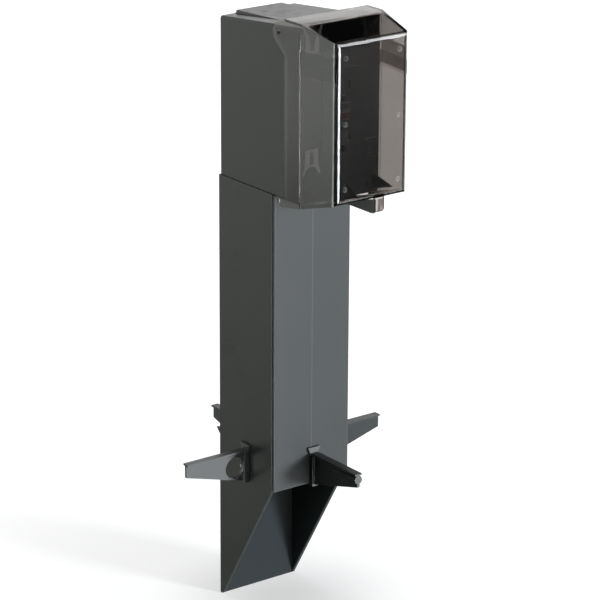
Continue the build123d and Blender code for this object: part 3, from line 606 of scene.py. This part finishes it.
# Inside the socket: its strap and screws of zinc plated steel, a black body, brass contacts and
# terminals, a lacquered circuit board with its current sensor and the trip solenoid's copper coil.
BRASS = (0.72, 0.52, 0.22, 1)
GREEN = (0.03, 0.22, 0.07, 1)
BOARD_GREEN = (0.02, 0.15, 0.05, 1)
TAPE_BLUE = (0.03, 0.08, 0.28, 1)
COPPER = (0.60, 0.26, 0.11, 1)
DRAWN_UP = (1, 1, 0.05)
COIL_AXIS = 2
TURNS_PER_METRE = 2500
STAINS_PER_METRE = 400
TURN_DEPTH = 0.0001


def wound_wire(name, colour):
    """A winding: shining lacquered turns side by side."""
    material = bpy.data.materials.new(name)
    surface = Surface(material)
    place = surface.place()
    turns = (surface.parts(place)[COIL_AXIS] * (2 * pi * TURNS_PER_METRE)).wave()
    stain = surface.noise(place, STAINS_PER_METRE, 2.0)
    darker = tuple(0.3 * part for part in colour[:3]) + (1,)
    surface.shader(
        Base_Color=surface.blend((0.6 + 0.5 * turns) * (0.6 + 0.5 * stain), darker, colour),
        Metallic=0.8,
        Roughness=0.3 + 0.15 * stain,
        Normal=surface.bump(turns, TURN_DEPTH, 1.0),
    )
    return material


brass = metal("brass", BRASS, 0.28, DRAWN_UP)
green_paint = moulded_plastic("green screw paint", GREEN, 0.3)
board_lacquer = moulded_plastic(
    "circuit board lacquer", BOARD_GREEN, 0.22, grain=0.5, streak=0.3
)
sensor_tape = moulded_plastic("blue sensor tape", TAPE_BLUE, 0.45)
copper_coil = wound_wire("copper winding", COPPER)
for node, material in (
    ("socket_body", black_plastic),
    ("socket_strap", zinc),
    ("socket_screws", zinc),
    ("case_screws", zinc),
    ("line_contact", brass),
    ("neutral_contact", brass),
    ("line_terminals", brass),
    ("neutral_terminals", zinc),
    ("earth_contact", brass),
    ("earth_screw", green_paint),
    ("circuit_board", board_lacquer),
    ("current_sensor", sensor_tape),
    ("trip_solenoid", copper_coil),
):
    painted(node, material)


# Hinge pins: two headed pins of blackened steel with bright zinc edges, partly wear and partly a
# painted highlight ring. Their turned ends show in the ears of the cover, which swings on them.
PIN = (0.02, 0.02, 0.021, 1)
PIN_ROUND = 0.0005

pin_black = metal("pin black", PIN, 0.5, DRAWN_BACK, wear=0.05)
# The rounded edges take zinc, partly wear and partly a painted highlight ring.
rounded(copied("hinge_pins", "post", [pin_black, zinc]), PIN_ROUND)


# Clear cover: one polished moulding of smoked polycarbonate, bulged forward, with a darker band
# high on each side wall and small frosted rings on its front. It swings on the hinge pins, and its
# finger tab closes in front of the catch rib. Dark streaks in the tab's tint are painted shade.
SMOKE_PER_METRE = 310.0
SMOKE_TINT = (0.11, 0.045, 0.0, 1)
BAND_TINT = (0.34, 0.31, 0.30, 1)
FROST = (0.4, 0.4, 0.4, 1)
POLYCARBONATE_IOR = 1.585
FLOW_PER_METRE = 30
SMUDGES_PER_METRE = 90
FLOW_DEPTH = 0.0002

# Soft edges of the band, measured down from the cover's top, and of the bubble's side and back.
BAND_FOOT = (0.0395, 0.0385)
BAND_HEAD = (0.0205, 0.0195)
BUBBLE_SIDE = (0.0300, 0.0304)
BUBBLE_BACK = (-0.0710, -0.0706)

# Soft edges of the finger tab and of the rings, which stand in two rows at an even pitch.
TAB_TOP = (0.1900, 0.1908)
TAB_BACK = (-0.1062, -0.1056)
RINGS_ACROSS = 0.0252
LOWEST_RING = 0.2032
RING_PITCH = 0.025
RING_INSIDE = (0.0011, 0.0014)
RING_OUTSIDE = (0.0018, 0.0021)
RING_BACK = (-0.1075, -0.1065)


def smoked_plastic(name, tint, density, top):
    """Smoked clear plastic, whose colour comes from the depth of the wall, with flow marks."""
    material = bpy.data.materials.new(name)
    surface = Surface(material)
    place = surface.place()
    x, y, z = surface.parts(place)
    flow = surface.noise(place, FLOW_PER_METRE, 2.0, (1, 1, 0.3))
    smudge = surface.noise(place, SMUDGES_PER_METRE, 3.0).rise(0.55, 0.85) * 0.04
    above_foot = z.rise(*(top - down for down in BAND_FOOT))
    below_head = 1 - z.rise(*(top - down for down in BAND_HEAD))
    at_side = x.size().rise(*BUBBLE_SIDE)
    at_band = above_foot * below_head * at_side * (1 - y.rise(*BUBBLE_BACK))
    # Dark streaks in the finger tab's tint stand in for its refraction: painted shade.
    at_tab = (1 - z.rise(*TAB_TOP)) * (1 - y.rise(*TAB_BACK))
    streaks = surface.noise(place, STREAKS_PER_METRE, 1.0, (1, 1, 0.12)).rise(0.42, 0.52)
    row = (z - LOWEST_RING).folded(RING_PITCH)
    beyond = ((x.size() - RINGS_ACROSS) ** 2 + row ** 2) ** 0.5
    ring = beyond.rise(*RING_INSIDE) * (1 - beyond.rise(*RING_OUTSIDE))
    ring = ring * (1 - y.rise(*RING_BACK))
    clear = surface.node(
        "ShaderNodeBsdfPrincipled",
        {},
        {
            "Base Color": surface.blend(at_band.most(at_tab * streaks), WHITE, BAND_TINT),
            "Roughness": smudge,
            "IOR": POLYCARBONATE_IOR,
            "Transmission Weight": 1.0,
            "Normal": surface.bump(flow, FLOW_DEPTH, 0.05),
        },
    )
    frosted = surface.node("ShaderNodeBsdfDiffuse", {}, {"Color": FROST})
    both = surface.node("ShaderNodeMixShader", {}, {0: 0.5 * ring, 1: clear, 2: frosted})
    smoke = surface.node("ShaderNodeVolumeAbsorption", {}, {"Color": tint, "Density": density})
    surface.node("ShaderNodeOutputMaterial", {}, {"Surface": both, "Volume": smoke})
    return material


cover_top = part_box("clear_cover")[1][2]
smoked = smoked_plastic("smoked polycarbonate", SMOKE_TINT, SMOKE_PER_METRE, cover_top)
smooth(copied("clear_cover", "cover", [smoked]))
